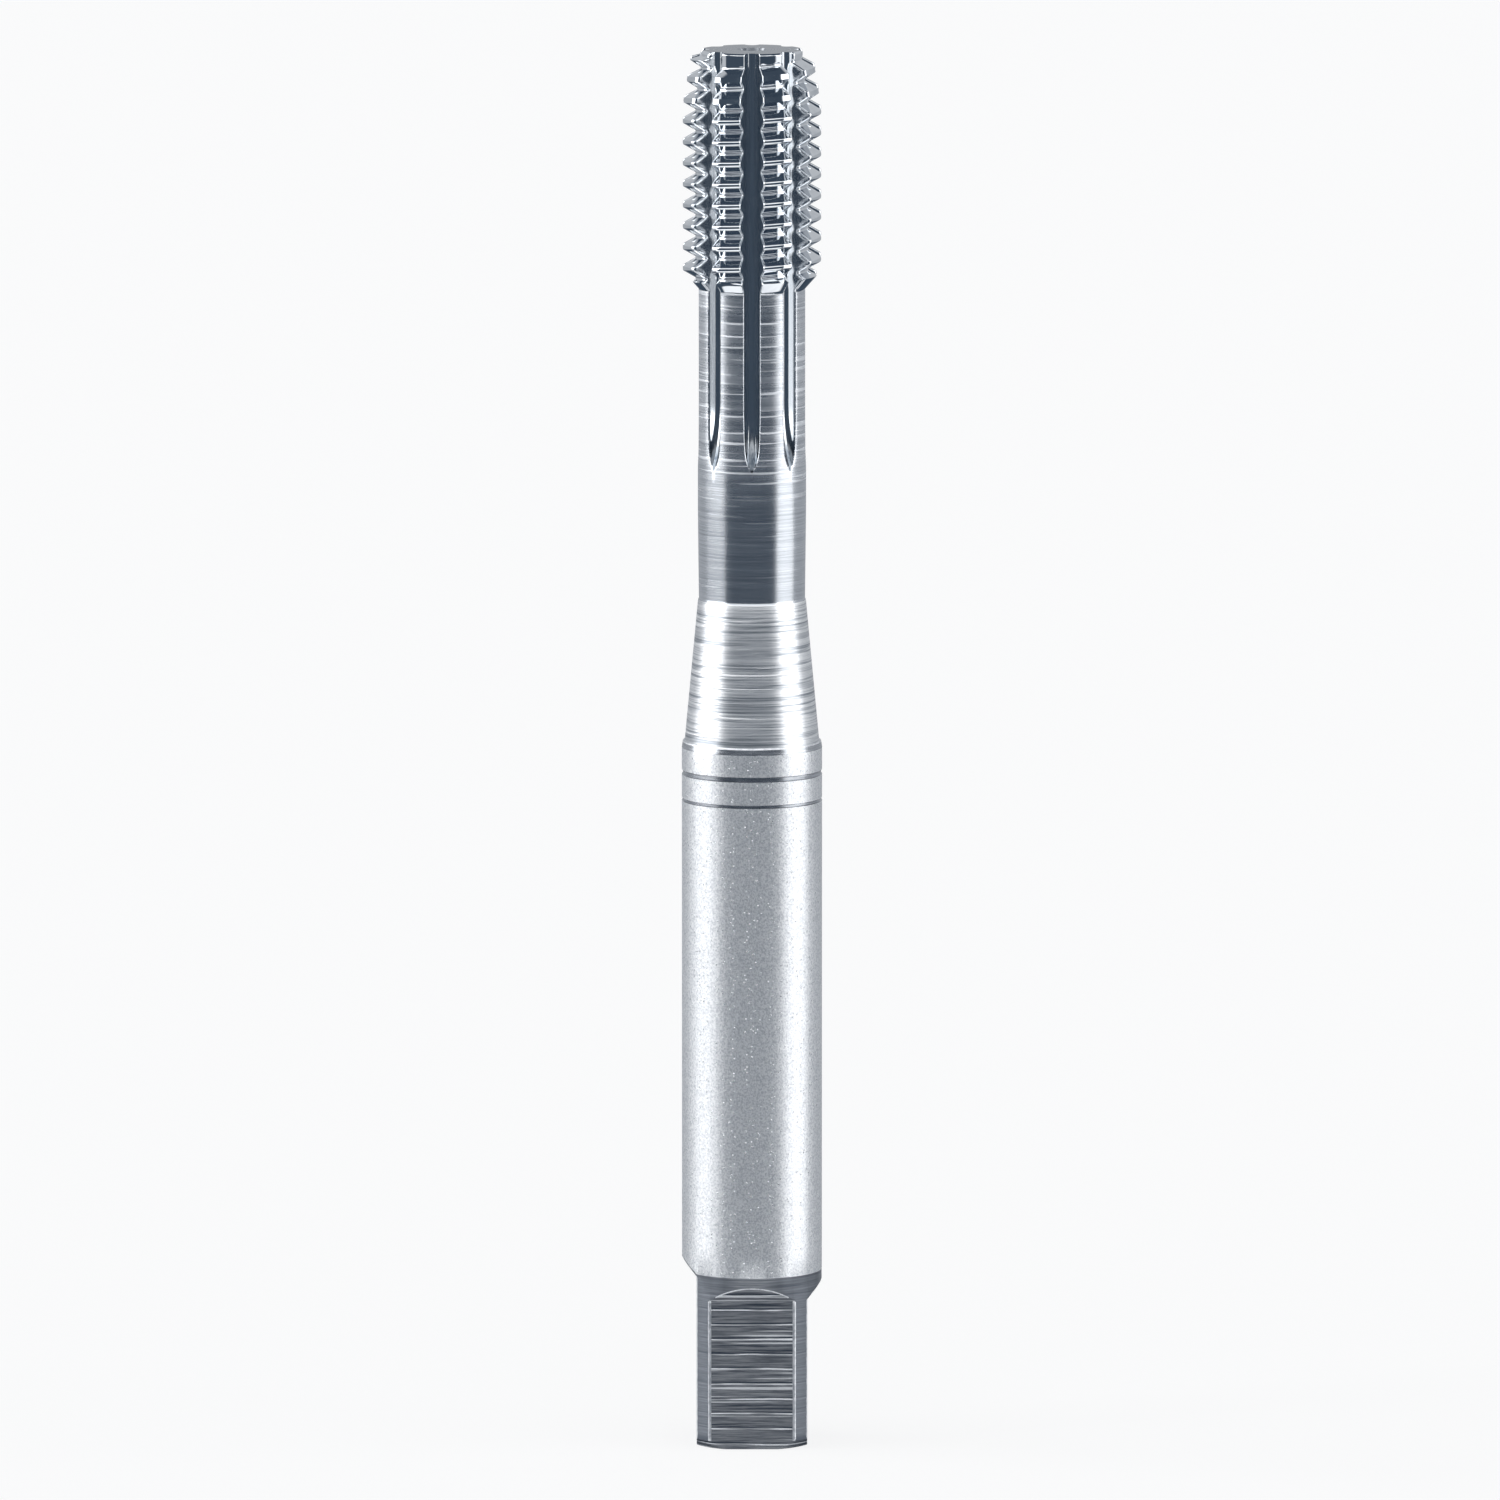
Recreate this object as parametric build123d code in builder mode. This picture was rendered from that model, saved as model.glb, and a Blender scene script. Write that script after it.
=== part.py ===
from build123d import *
import math
import os

# Thread forming tap, M10 with a coarse right-hand thread: one bar of tool steel, ground all over.
# The origin is the centre of the flat end of the driving square, and +Z runs to the threaded end.
# The flat at -Y is the front. Lengths are in millimetres and angles in degrees.

# Lengths along the axis
total_length = 100.0
square_length = 10.7
long_flat_extra = 1.65
shank_length = 50.6
cone_length = 10.1
thread_length = 17.0

# Shank and driving square
shank_diameter = 10.0
square_width = 7.9
square_runout_angle = 45.0
end_chamfer = 0.6
shank_edge_width = 0.07
shank_edge_height = 0.5
shank_ledge_width = 0.14

# Rings turned into the shank, each at its own height below the end of the shank
wide_ring_below_end = 2.25
wide_ring_width = 0.36
narrow_ring_below_end = 4.2
narrow_ring_width = 0.24
ring_depth = 0.07

# Neck and thread
neck_diameter = 7.7
neck_relief_depth = 0.07
neck_relief_length = 6.5
thread_diameter = 10.06
thread_pitch = 1.5
flank_angle = 60.0
crest_flat = 0.29
root_flat = 0.14
lobe_offset = 0.8
back_chamfer_angle = 42.0

# Lead taper and pilot at the threaded end
lead_angle = 9.5
crest_lead_length = 4.0
root_lead_length = 3.55
pilot_diameter = 7.4
pilot_length = 0.4
pilot_edge = 0.15
shoulder_angle = 12.0

# Oil grooves along the thread and into the neck
groove_count = 8
groove_floor_radius = 0.5
groove_floor_distance = 3.04
groove_flare_angle = 13.0
groove_straight_length = 25.0
groove_wheel_radius = 14.0

# Centre holes in both ends
centre_angle = 60.0
square_centre_diameter = 2.6
square_centre_bore = 1.2
square_centre_depth = 2.6
thread_centre_diameter = 2.2
thread_centre_bore = 1.0
thread_centre_depth = 2.2

# A cutter stands this far past what it cuts
cutter_clearance = 0.5

shank_radius = shank_diameter / 2
neck_radius = neck_diameter / 2
pilot_radius = pilot_diameter / 2
cone_end = shank_length + cone_length
thread_start = total_length - thread_length
pilot_start = total_length - pilot_length

# Shank, cone and neck, turned from the flat end up to the back of the thread
with BuildPart() as shank:
    with BuildSketch(Plane.XZ):
        with BuildLine():
            Polyline(
                (0, 0),
                (shank_radius - end_chamfer, 0),
                (shank_radius, end_chamfer),
                (shank_radius, shank_length - shank_edge_height),
                (shank_radius - shank_edge_width, shank_length),
                (shank_radius - shank_edge_width - shank_ledge_width, shank_length),
                (neck_radius - neck_relief_depth, cone_end),
                (neck_radius, cone_end + neck_relief_length),
                (neck_radius, thread_start),
                (0, thread_start),
                close=True,
            )
        make_face()
    revolve(axis=Axis.Z)

    # Two shallow rings below the end of the shank
    with BuildSketch(Plane.XZ):
        with Locations((shank_radius, shank_length - wide_ring_below_end)):
            Rectangle(2 * ring_depth, wide_ring_width)
        with Locations((shank_radius, shank_length - narrow_ring_below_end)):
            Rectangle(2 * ring_depth, narrow_ring_width)
    revolve(axis=Axis.Z, mode=Mode.SUBTRACT)

    # The four flats of the square, each running out up the shank, and the left one longer
    flat_distance = square_width / 2
    flat_depth = shank_radius - flat_distance
    flat_reach = flat_depth + cutter_clearance
    runout_rise = flat_reach / math.tan(math.radians(square_runout_angle))
    for turn, flat_length in (
        (0, square_length),
        (90, square_length),
        (180, square_length + long_flat_extra),
        (270, square_length),
    ):
        turned = math.radians(turn)
        outwards = (math.cos(turned), math.sin(turned), 0)
        sideways = (math.sin(turned), -math.cos(turned), 0)
        with BuildSketch(Plane(origin=(0, 0, 0), x_dir=outwards, z_dir=sideways)):
            with BuildLine():
                Polyline(
                    (flat_distance, -cutter_clearance),
                    (flat_distance, flat_length),
                    (flat_distance + flat_reach, flat_length + runout_rise),
                    (flat_distance + flat_reach, -cutter_clearance),
                    close=True,
                )
            make_face()
        extrude(amount=shank_diameter, both=True, mode=Mode.SUBTRACT)

# The space between two turns of the thread is a V at the flank angle with a flat bottom
crest_distance = thread_diameter / 2
half_flank = math.radians(flank_angle / 2)
thread_depth = (thread_pitch - crest_flat - root_flat) / 2 / math.tan(half_flank)
root_distance = crest_distance - thread_depth
outside_distance = crest_distance + cutter_clearance
space_outside = crest_distance + crest_flat / 2
space_outside_width = thread_pitch - crest_flat + crest_flat * math.tan(half_flank)


def thread_space(height):
    """Outline of the space between two turns, on the +X side and centred on the given height."""
    with BuildSketch(Plane(origin=(0, 0, height), x_dir=(1, 0, 0), z_dir=(0, -1, 0))) as section:
        with BuildLine():
            Polyline(
                (root_distance, -root_flat / 2),
                (root_distance, root_flat / 2),
                (space_outside, space_outside_width / 2),
                (space_outside, -space_outside_width / 2),
                close=True,
            )
        make_face()
    return section.sketch


# The space winds up from below the thread to the lead, where it closes in towards the axis
root_lead_start = total_length - root_lead_length
space_turns = math.ceil((root_lead_start - thread_start) / thread_pitch)
space_start = root_lead_start - space_turns * thread_pitch

with BuildPart() as straight_space:
    with BuildLine() as straight_path:
        Helix(
            pitch=thread_pitch,
            height=root_lead_start - space_start,
            radius=root_distance,
            center=(0, 0, space_start),
        )
    sweep(sections=thread_space(space_start), path=straight_path.line, is_frenet=True)

with BuildPart() as lead_space:
    with BuildLine() as lead_path:
        Helix(
            pitch=thread_pitch / math.cos(math.radians(lead_angle)),
            height=root_lead_length + thread_pitch,
            radius=root_distance,
            center=(0, 0, root_lead_start),
            cone_angle=-lead_angle,
        )
    sweep(sections=thread_space(root_lead_start), path=lead_path.line, is_frenet=True)

# The threaded end: a bar with a lobe at the middle of each land, which alone is at full diameter.
# The space is wound into it, and it is turned down to its lead, pilot and back.
lead_slope = math.tan(math.radians(lead_angle))
shoulder_slope = math.tan(math.radians(shoulder_angle))
back_slope = math.tan(math.radians(back_chamfer_angle))
lead_top = total_length + thread_pitch
lead_top_distance = crest_distance - (lead_top - total_length + crest_lead_length) * lead_slope
lead_outside_height = total_length - crest_lead_length - cutter_clearance / lead_slope
back_outside_height = thread_start + (outside_distance - neck_radius) / back_slope
shoulder_outside_height = pilot_start - (outside_distance - pilot_radius) * shoulder_slope
half_land_turn = 360 / groove_count / 2

with BuildPart() as threaded_end:
    with BuildSketch(Plane.XY.offset(thread_start - thread_pitch)):
        with PolarLocations(lobe_offset, groove_count, start_angle=half_land_turn):
            Circle(crest_distance - lobe_offset)
    extrude(amount=thread_length + 2 * thread_pitch)
    add(straight_space.part, mode=Mode.SUBTRACT)
    add(lead_space.part, mode=Mode.SUBTRACT)

    # The lead tapers the crests
    with BuildSketch(Plane.XZ):
        with BuildLine():
            Polyline(
                (outside_distance, lead_outside_height),
                (lead_top_distance, lead_top),
                (outside_distance, lead_top),
                close=True,
            )
        make_face()
    revolve(axis=Axis.Z, mode=Mode.SUBTRACT)

    # The pilot and the flat front end
    with BuildSketch(Plane.XZ):
        with BuildLine():
            Polyline(
                (0, total_length),
                (pilot_radius - pilot_edge, total_length),
                (pilot_radius, total_length - pilot_edge),
                (pilot_radius, pilot_start),
                (outside_distance, shoulder_outside_height),
                (outside_distance, total_length + 2 * thread_pitch),
                (0, total_length + 2 * thread_pitch),
                close=True,
            )
        make_face()
    revolve(axis=Axis.Z, mode=Mode.SUBTRACT)

    # The back of the thread slopes down to the neck
    with BuildSketch(Plane.XZ):
        with BuildLine():
            Polyline(
                (0, thread_start),
                (neck_radius, thread_start),
                (outside_distance, back_outside_height),
                (outside_distance, thread_start - 2 * thread_pitch),
                (0, thread_start - 2 * thread_pitch),
                close=True,
            )
        make_face()
    revolve(axis=Axis.Z, mode=Mode.SUBTRACT)

# One oil groove at the front, as a round-nosed wheel leaves it, which runs out into the neck
wheel_centre = groove_floor_distance + groove_floor_radius
path_radius = groove_wheel_radius - groove_floor_radius
runout_depth = neck_radius - groove_floor_distance + cutter_clearance
runout_turn = math.degrees(math.acos(1 - runout_depth / groove_wheel_radius))
groove_top = total_length + cutter_clearance
groove_flare = math.radians(groove_flare_angle)
wall_start_width = groove_floor_radius * math.cos(groove_flare)
wall_start_distance = wheel_centre - groove_floor_radius * math.sin(groove_flare)
wall_end_width = wall_start_width + (outside_distance - wall_start_distance) * math.tan(groove_flare)

with BuildPart() as oil_groove:
    with BuildLine(Plane.YZ) as wheel_path:
        along = Line((-wheel_centre, groove_top), (-wheel_centre, total_length - groove_straight_length))
        JernArc(along @ 1, along % 1, path_radius, -runout_turn)
    with BuildSketch(Plane.XY.offset(groove_top)):
        with BuildLine():
            floor = CenterArc(
                (0, -wheel_centre), groove_floor_radius, groove_flare_angle, 180 - 2 * groove_flare_angle
            )
            Polyline(
                floor @ 1,
                (-wall_end_width, -outside_distance),
                (wall_end_width, -outside_distance),
                floor @ 0,
            )
        make_face()
    sweep(path=wheel_path.line)

# The whole tap: shank and threaded end in one, with the oil grooves and the centre holes
with BuildPart() as forming_tap:
    add(shank.part)
    add(threaded_end.part)
    with PolarLocations(0, groove_count):
        add(oil_groove.part, mode=Mode.SUBTRACT)
    with Locations(Plane.XY.offset(total_length)):
        CounterSinkHole(
            radius=thread_centre_bore / 2,
            counter_sink_radius=thread_centre_diameter / 2,
            depth=thread_centre_depth,
            counter_sink_angle=centre_angle,
        )
    with Locations(Plane.XY.rotated((180, 0, 0))):
        CounterSinkHole(
            radius=square_centre_bore / 2,
            counter_sink_radius=square_centre_diameter / 2,
            depth=square_centre_depth,
            counter_sink_angle=centre_angle,
        )

os.makedirs("parts", exist_ok=True)
forming_tap.part.label = "forming_tap"
export_step(forming_tap.part, "parts/forming_tap.step")
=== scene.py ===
import math

import bpy
import numpy as np
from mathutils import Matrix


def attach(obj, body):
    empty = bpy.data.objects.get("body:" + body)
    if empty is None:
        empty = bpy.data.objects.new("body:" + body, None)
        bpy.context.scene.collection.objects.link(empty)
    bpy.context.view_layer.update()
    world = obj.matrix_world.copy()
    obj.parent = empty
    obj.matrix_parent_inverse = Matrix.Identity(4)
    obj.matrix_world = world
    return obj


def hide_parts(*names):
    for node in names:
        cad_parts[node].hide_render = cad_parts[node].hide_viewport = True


# Thread forming tap, standing on the flat end of its square. The mesh is worked out in millimetres
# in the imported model's own frame, with the front flat towards -Y, and goes into Blender in metres.
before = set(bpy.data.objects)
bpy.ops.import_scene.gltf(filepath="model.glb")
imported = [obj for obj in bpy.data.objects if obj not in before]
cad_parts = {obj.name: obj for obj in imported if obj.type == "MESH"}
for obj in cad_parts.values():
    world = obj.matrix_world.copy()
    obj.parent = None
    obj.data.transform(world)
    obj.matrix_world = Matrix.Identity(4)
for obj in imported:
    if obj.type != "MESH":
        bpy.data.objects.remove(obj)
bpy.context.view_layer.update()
print("frame loaded:", sorted(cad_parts))

metre = 0.001  # one millimetre in Blender's unit


# Shape

body = {
    "length": 100.0,
    "shankRadius": 4.9994,   # as far out as the solid's facets reach along Y
    "shankLength": 50.6,
    "edgeHeight": 0.5,       # the small bevel that ends the shank
    "edgeWidth": 0.07,
    "edgeBreak": 0.1,        # the bevel's top edge is broken over this height,
    "breakWidth": 0.03,      # and by this much
    "ledge": 0.14,           # step from the bevel in to the cone,
    "ledgeRise": 0.02,       # which rises this much
    "coneLength": 10.1,
    "coneRound": 0.1,        # the cone meets the neck over this length to each side
    "coneDip": 0.02,
    "neckRadius": 3.85,
    "neckRelief": 0.07,      # the neck was ground this much slimmer near the cone
    "reliefLength": 6.5,
    "linedFrom": (65.5, 72.5),  # the neck's ground lines grow stronger over this stretch
    "endChamfer": 0.6,
    "rings": ((48.35, 0.36), (46.4, 0.24)),  # height and width of the turned rings
    "ringDepth": 0.07,
    "ringWall": 0.04,        # each wall of a ring slopes over this much
}

square = {
    "flatDistance": 3.95,
    "length": 10.7,
    "longExtra": 1.65,       # the flat on the left runs further up
    "edgeRound": 0.11,
    "edgeLine": 0.045,       # half the width of the painted highlight line where a flat runs out
    "feed": 1.08,            # the grinding wheel moved up by this much at a time
    "satinStart": 12.55,     # above this the shank is satin,
    "satinStep": 0.015,      # and stands this much proud,
    "satinRise": 0.06,       # past a slope of this height
    "bend": 0.04,            # half the height over which a flat bends into its run-out
    "faceDepth": 0.03,       # a face this far inside the shank is a flat's
    "chamferSlack": 0.02,    # and one at most this far inside a flat is the chamfer's
    "cornerStrip": math.radians(7.2),   # the left flat's length fades over this much to each side
    "cornerReach": 3.0,      # the corners' columns end this far past the flats
    "roundReach": 2.0,       # and their rounding this far past the satin's start
    "cornerColumns": math.radians(40),  # a column is at a corner from here on,
    "cornerFaces": math.radians(33),    # and a face from here
    "paintedCornerShade": (3.0, 11.0),  # painted shade: the dull parts darken where |x y| is between these
    "darkFoot": (0.7, 1.15),    # and are nearly black below these heights
}

thread = {
    "start": 83.0,
    "pitch": 1.5,
    "crestRadius": 5.03,
    "crestPhase": 1.2,       # a crest passes +X this far up, and then once every pitch
    "crestRound": 0.45,
    "rootRound": 0.05,
    "halfFlank": math.radians(30),
    "crestFlat": 0.29,
    "rootFlat": 0.14,
    "lobeOffset": 0.8,       # a land is an arc of a smaller circle, moved out by this
    "leadSlope": math.tan(math.radians(9.5)),
    "crestLead": 4.0,
    "rootLead": 3.55,
    "backSlope": math.tan(math.radians(42)),
    "pilotRadius": 3.7,
    "pilotLength": 0.4,
    "pilotEdge": 0.15,
    "shoulderSlope": math.tan(math.radians(12)),
    "bluntTurn": 225.0,      # the first turn is cut away from this azimuth on
    "bluntHeight": 98.8875,
    "bluntRadius": 3.66,
}

groove = {
    "count": 8,
    "floorRadius": 0.5,
    "floorDistance": 3.04,
    "flare": math.radians(13),
    "straightLength": 25.0,
    "wheelRadius": 14.0,
    "edgeRound": 0.16,
    "plainHalfWidth": 0.6266,  # where there is no groove, its columns keep this spacing
    "tipHalfWidth": 0.12,
    "runOut": 4.7,           # length of the run-out
    "spread": 6.0,           # below it the columns spread out over this much
    "floorsAbove": 68.0,     # a face is a groove's if it is above this height
    "floorDepth": 0.03,      # and this deep
    "aboutRadius": 4.0,      # turns a width to the side into a rough azimuth
    "darkRunOut": (71.2, 73.4),   # the run-out is dark up to the first height, and bright from the second
}

centreHole = {
    "threadEnd": (1.1, 0.5, 2.2),   # mouth radius, bore radius, depth
    "squareEnd": (1.3, 0.6, 2.6),
    "halfAngle": math.radians(30),
}

grid = {
    "floorAngles": (20, 40, 58, 77),
    "landColumns": 5,
    "crestSteps": 7,
    "flankSteps": 3,
    "rootSteps": 2,
    "crestSupport": 0.015,   # rows this near an arc keep the flanks' shading flat,
    "rootSupport": 0.012,
    "chamferSupport": 0.12,  # and these do it beside the chamfer and the bevel
    "bevelSupport": 0.05,
    "breakSupport": 0.04,
    "widestEdge": 1.5,       # a groove's edge is looked for up to this width,
    "halvings": 36,
    "edgeGuess": 0.15,       # and its azimuth from this one on
    "edgeTries": 5,
    "slopeStep": 0.005,      # a wall's slope is taken over this width
    "roundShare": 0.35,      # a rounding is at most this share of the groove's half width
    "floorShare": 0.9,       # and a floor this share of what is left
    "shankBase": 14.2,       # heights at which the spacing of the rows changes
    "runOutBase": 70.2,
    "runOutTop": 76.0,
    "threadBase": 82.8,
    "merge": 1e-5,           # points this near each other are one
}


def smoothStep(x):
    # 3x^2 - 2x^3 with x held between 0 and 1
    x = np.clip(x, 0, 1)
    return x * x * (3 - 2 * x)


def crestEdge():
    # Distance from the crest's middle at which its arc of radius R meets the flank, a line x/s - a/s:
    # the smaller root of (1 + 1/s^2) x^2 - 2 u x / s + u^2 - R^2 = 0, where u = R + a/s
    p = thread
    steep = 1 / math.tan(p["halfFlank"])
    reach = p["crestRound"] + p["crestFlat"] / 2 * steep
    stretch = 1 + steep**2
    half = reach * steep
    return (half - math.sqrt(half**2 - stretch * (reach**2 - p["crestRound"] ** 2))) / stretch


def rootCorner():
    # Where the arc in the corner between a flank and the flat root starts and ends, from the crest's
    # middle: r tan((90 degrees - half angle) / 2) away from the corner along each of them
    p = thread
    tangent = p["rootRound"] * math.tan((math.pi / 2 - p["halfFlank"]) / 2)
    corner = (p["pitch"] - p["rootFlat"]) / 2
    return corner - tangent * math.sin(p["halfFlank"]), corner + tangent


def threadProfile(phase):
    # Depth below the crest at a distance x from it along the axis: R less the root of R^2 - x^2 over the
    # domed crest, x less half the crest's flat over the tangent of the half angle on the flank, and a
    # narrow flat root with an arc in each corner
    p = thread
    half = p["pitch"] / 2
    x = np.abs((phase + half) % p["pitch"] - half)
    slope = math.tan(p["halfFlank"])
    depth = (p["pitch"] - p["crestFlat"] - p["rootFlat"]) / 2 / slope
    arcStart, arcEnd = rootCorner()
    flank = (x - p["crestFlat"] / 2) / slope
    crest = p["crestRound"] - np.sqrt(np.maximum(p["crestRound"] ** 2 - x**2, 0))
    arc = depth - p["rootRound"] + np.sqrt(np.maximum(p["rootRound"] ** 2 - (arcEnd - x) ** 2, 0))
    root = np.where(x < arcEnd, arc, depth)
    return np.where(x < crestEdge(), crest, np.where(x > arcStart, root, flank))


def lathe(z):
    # Radius of the turned blank below the thread: straight lines between the corners of its outline, for
    # the chamfer, the shank with its rings, the bevel, the cone and the neck
    b = body
    shank = b["shankRadius"]
    ground = shank - square["satinStep"]
    points = [(0, ground - b["endChamfer"]), (b["endChamfer"], ground)]
    points += [(square["satinStart"] - square["satinRise"], ground), (square["satinStart"], shank)]
    wall = b["ringWall"]
    for height, width in sorted(b["rings"]):
        bottom, floor = width / 2 - wall, shank - b["ringDepth"]
        points += [(height - width / 2, shank), (height - bottom, floor)]
        points += [(height + bottom, floor), (height + width / 2, shank)]
    coneEnd = b["shankLength"] + b["coneLength"]
    atBreak = b["edgeWidth"] * (1 - b["edgeBreak"] / b["edgeHeight"])
    points += [
        (b["shankLength"] - b["edgeHeight"], shank),
        (b["shankLength"] - b["edgeBreak"], shank - atBreak),
        (b["shankLength"], shank - b["edgeWidth"] - b["breakWidth"]),
        (b["shankLength"] + b["ledgeRise"], shank - b["edgeWidth"] - b["ledge"]),
        (coneEnd - b["coneRound"], b["neckRadius"]),
        (coneEnd, b["neckRadius"] - b["coneDip"]),
        (coneEnd + b["coneRound"], b["neckRadius"] - b["neckRelief"]),
        (coneEnd + b["reliefLength"], b["neckRadius"]),
        (b["length"], b["neckRadius"]),
    ]
    heights, radii = zip(*points)
    return np.interp(z, heights, radii)


def flatLength(turn):
    # Height at which the flats end: their length, and on the left the extra length times a soft step
    # across the corners that it shares with its neighbours
    left = np.abs(turn % (2 * math.pi) - math.pi)
    corner = math.radians(45)
    strip = square["cornerStrip"]
    share = smoothStep((corner + strip - left) / (2 * strip))
    return square["length"] + square["longExtra"] * share


def flatTurn(turn):
    # Angle from the middle of the nearest flat
    quarter = math.pi / 2
    return (turn + quarter / 2) % quarter - quarter / 2


def rampTop(turn):
    # Height where the 45 degree slope at the end of a flat meets the round shank: the flat's length and
    # the depth of the flat below the shank at this azimuth
    rise = body["shankRadius"] * np.cos(flatTurn(turn)) - square["flatDistance"]
    return flatLength(turn) + np.maximum(rise, 0)


def landRadius(turn, z):
    # Distance of the outside from the axis, with no oil groove, at an azimuth and a height: the least of
    # the turned blank, and a flat's distance over the cosine of the angle from its middle. From the back
    # of the thread up it is the lobed land less the thread's depth, cut by its lead, pilot and back.
    p = thread
    radius = lathe(z)
    flat = (square["flatDistance"] + np.maximum(z - flatLength(turn), 0)) / np.cos(flatTurn(turn))
    radius = np.minimum(radius, flat)
    # thread, its lead and its lobes
    spacing = 2 * math.pi / groove["count"]
    off = (turn % spacing) - spacing / 2
    small = p["crestRadius"] - p["lobeOffset"]
    lobe = p["lobeOffset"] * np.cos(off) + np.sqrt(small**2 - (p["lobeOffset"] * np.sin(off)) ** 2)
    below = body["length"] - z
    turns = turn / (2 * math.pi)
    outside = lobe - threadProfile(z - p["crestPhase"] - p["pitch"] * turns)
    outside = outside - np.maximum(p["rootLead"] - below, 0) * p["leadSlope"]
    outside = np.minimum(outside, lobe - np.maximum(p["crestLead"] - below, 0) * p["leadSlope"])
    # the first turn is gone from the blunt start on, down to a smooth band
    bluntTurns = (turn - math.radians(p["bluntTurn"])) / (2 * math.pi) % 1
    band = z > p["bluntHeight"] + p["pitch"] * bluntTurns
    outside = np.where(band, np.minimum(outside, p["bluntRadius"]), outside)
    # pilot with its edge, and the shoulder behind it
    shoulder = p["pilotRadius"] + np.maximum(below - p["pilotLength"], 0) / p["shoulderSlope"]
    outside = np.minimum(outside, shoulder - np.maximum(p["pilotEdge"] - below, 0))
    # the back of the thread slopes down to the neck
    back = body["neckRadius"] + (z - p["start"]) * p["backSlope"]
    outside = np.minimum(outside, back)
    return np.where(z > p["start"], outside, radius)


def grooveDistance(width, z):
    # Distance of a groove's floor and walls from the axis, at a distance w to the side of its middle:
    # centre less the root of r^2 - w^2 on the round floor, then w over the tangent of the flare on the
    # walls, all lifted by R less the root of R^2 - b^2 at b below the straight length
    g = groove
    centre = g["floorDistance"] + g["floorRadius"]
    arcEnd = g["floorRadius"] * math.cos(g["flare"])
    wallStart = centre - g["floorRadius"] * math.sin(g["flare"])
    floor = centre - np.sqrt(np.maximum(g["floorRadius"] ** 2 - np.minimum(width, arcEnd) ** 2, 0))
    wall = wallStart + (width - arcEnd) / math.tan(g["flare"])
    below = np.maximum(body["length"] - g["straightLength"] - z, 0)
    inside = np.maximum(g["wheelRadius"] ** 2 - below**2, 0)
    lift = g["wheelRadius"] - np.sqrt(inside)
    return np.where(width > arcEnd, wall, floor) + lift


def plainHalfWidth(z, turnOfGroove):
    # Half the spacing that a groove's columns keep below its tip. At the corners of the square they end at
    # the edges of the flats.
    g = groove
    tip = body["length"] - g["straightLength"] - g["runOut"]
    share = smoothStep((tip - z) / g["spread"])
    plain = g["tipHalfWidth"] + (g["plainHalfWidth"] - g["tipHalfWidth"]) * share
    radius = lathe(z)
    edge = np.arccos(np.clip(square["flatDistance"] / radius, -1, 1))
    corner = radius * np.sin(math.pi / 4 - edge)
    atCorner = np.abs(flatTurn(turnOfGroove)) > square["cornerColumns"]
    return np.where(atCorner & (z < square["length"] + square["cornerReach"]), corner, plain)


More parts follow.
